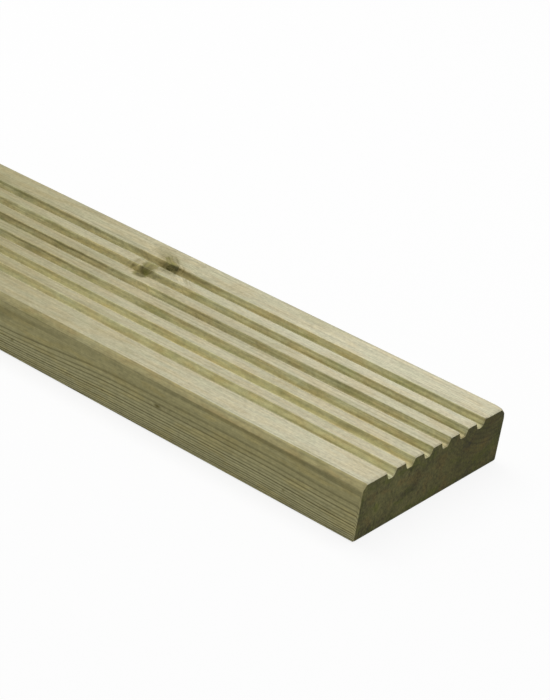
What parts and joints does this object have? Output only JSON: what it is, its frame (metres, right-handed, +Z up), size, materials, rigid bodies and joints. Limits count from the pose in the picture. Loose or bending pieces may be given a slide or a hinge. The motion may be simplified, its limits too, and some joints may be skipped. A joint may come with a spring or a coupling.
{
  "type": "decking board",
  "caption": "Grooved, pressure-treated softwood decking board: a long flat plank with drainage grooves along its tread face and bevelled upper edges.",
  "frame": {"origin": "centre of the underside, midway along the board", "axes": "+X along the board, +Y across its width, +Z up out of the grooved tread face"},
  "size_m": [2.4, 0.125, 0.032],
  "materials": {
    "treated_softwood": "planed, green-tinted preservative treatment, matt"
  },
  "bodies": {
    "root": {"deck_board": "treated_softwood"}
  },
  "joints": []
}
